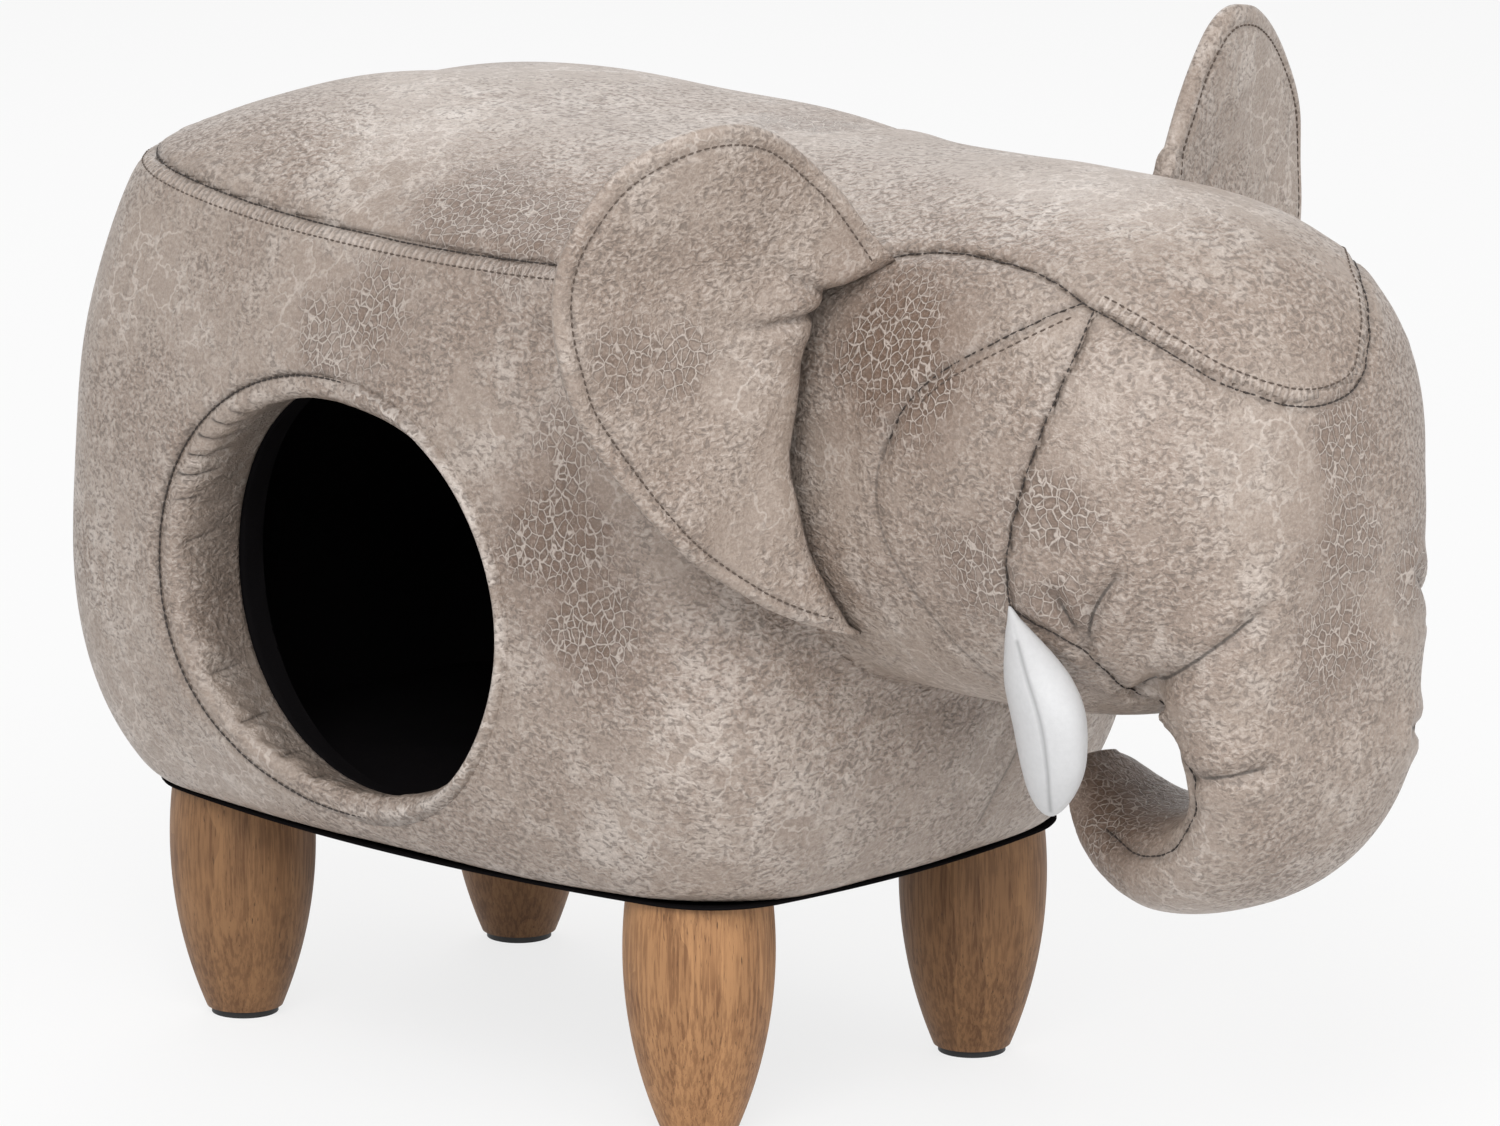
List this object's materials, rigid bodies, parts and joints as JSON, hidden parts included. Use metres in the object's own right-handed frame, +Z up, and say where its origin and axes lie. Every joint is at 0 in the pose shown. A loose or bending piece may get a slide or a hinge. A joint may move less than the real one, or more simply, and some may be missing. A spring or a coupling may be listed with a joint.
{
  "type": "elephant pouf",
  "caption": "Elephant-shaped upholstered footstool with a round open cave in one flank, stuffed head with trunk, ears and tusks, on turned wooden legs.",
  "frame": {"origin": "on the floor under the middle of the whole object", "axes": "+X is where the elephant looks, +Y its left flank, +Z up; the cave opens towards -Y"},
  "size_m": [0.6051, 0.4274, 0.4233],
  "materials": {
    "faux_leather": "distressed grey-taupe faux leather with light scuffs and crackle grain",
    "white_cloth": "smooth white leatherette",
    "black_cloth": "matt black non-woven cloth",
    "foam": "upholstery foam, hidden",
    "wadding": "polyester fibre, hidden",
    "board": "raw board, hidden",
    "leg_wood": "turned hardwood with a satin oil",
    "steel": "zinc plated",
    "foot_plastic": "black plastic glide"
  },
  "bodies": {
    "pouf": {"side_cover": "faux_leather", "seat_cover": "faux_leather", "mouth_sleeve": "faux_leather", "head_cover": "faux_leather", "trunk_cover": "faux_leather", "head_stuffing": "wadding", "trunk_stuffing": "wadding", "side_foam": "foam", "seat_foam": "foam", "base_board": "board", "seat_board": "board", "side_wall": "board", "base_screws": "steel", "seat_screws": "steel", "tee_nuts": "steel", "hem_staples": "steel", "dust_cover": "black_cloth", "cave_lining": "black_cloth"},
    "ear_right": {"ear_right_front_panel": "faux_leather", "ear_right_back_panel": "faux_leather", "ear_right_batting": "wadding"},
    "tusk_right": {"tusk_right_stuffing": "wadding", "tusk_right_cover": "white_cloth"},
    "ear_left": {"ear_left_front_panel": "faux_leather", "ear_left_back_panel": "faux_leather", "ear_left_batting": "wadding"},
    "tusk_left": {"tusk_left_stuffing": "wadding", "tusk_left_cover": "white_cloth"},
    "leg_front_right": {"leg_front_right": "leg_wood", "hanger_bolt_front_right": "steel", "foot_pad_front_right": "foot_plastic"},
    "leg_front_left": {"leg_front_left": "leg_wood", "hanger_bolt_front_left": "steel", "foot_pad_front_left": "foot_plastic"},
    "leg_rear_right": {"leg_rear_right": "leg_wood", "hanger_bolt_rear_right": "steel", "foot_pad_rear_right": "foot_plastic"},
    "leg_rear_left": {"leg_rear_left": "leg_wood", "hanger_bolt_rear_left": "steel", "foot_pad_rear_left": "foot_plastic"}
  },
  "joints": [
    {"name": "ear_right_fold", "type": "hinge", "parent": "pouf", "child": "ear_right", "pos_m": [0.1235, -0.11571, 0.2892], "axis": [0.0535, 0.147, 0.9877], "range_deg": [-25, 30], "stiffness_Nm_per_rad": 0.3},
    {"name": "ear_left_fold", "type": "hinge", "parent": "pouf", "child": "ear_left", "pos_m": [0.1235, 0.11571, 0.2892], "axis": [-0.0535, 0.147, -0.9877], "range_deg": [-25, 30], "stiffness_Nm_per_rad": 0.3},
    {"name": "tusk_right_swing", "type": "hinge", "parent": "pouf", "child": "tusk_right", "pos_m": [0.2195, -0.099, 0.23973], "axis": [-1, 0, 0], "range_deg": [0, 30], "stiffness_Nm_per_rad": 0.05},
    {"name": "tusk_left_swing", "type": "hinge", "parent": "pouf", "child": "tusk_left", "pos_m": [0.2195, 0.099, 0.23973], "axis": [1, 0, 0], "range_deg": [0, 30], "stiffness_Nm_per_rad": 0.05},
    {"name": "leg_front_right_screw", "type": "hinge", "parent": "pouf", "child": "leg_front_right", "pos_m": [0.037, -0.082, 0.05], "axis": [0, 0, 1], "continuous": true},
    {"name": "leg_front_left_screw", "type": "hinge", "parent": "pouf", "child": "leg_front_left", "pos_m": [0.037, 0.082, 0.05], "axis": [0, 0, 1], "continuous": true},
    {"name": "leg_rear_right_screw", "type": "hinge", "parent": "pouf", "child": "leg_rear_right", "pos_m": [-0.226, -0.082, 0.05], "axis": [0, 0, 1], "continuous": true},
    {"name": "leg_rear_left_screw", "type": "hinge", "parent": "pouf", "child": "leg_rear_left", "pos_m": [-0.226, 0.082, 0.05], "axis": [0, 0, 1], "continuous": true}
  ]
}
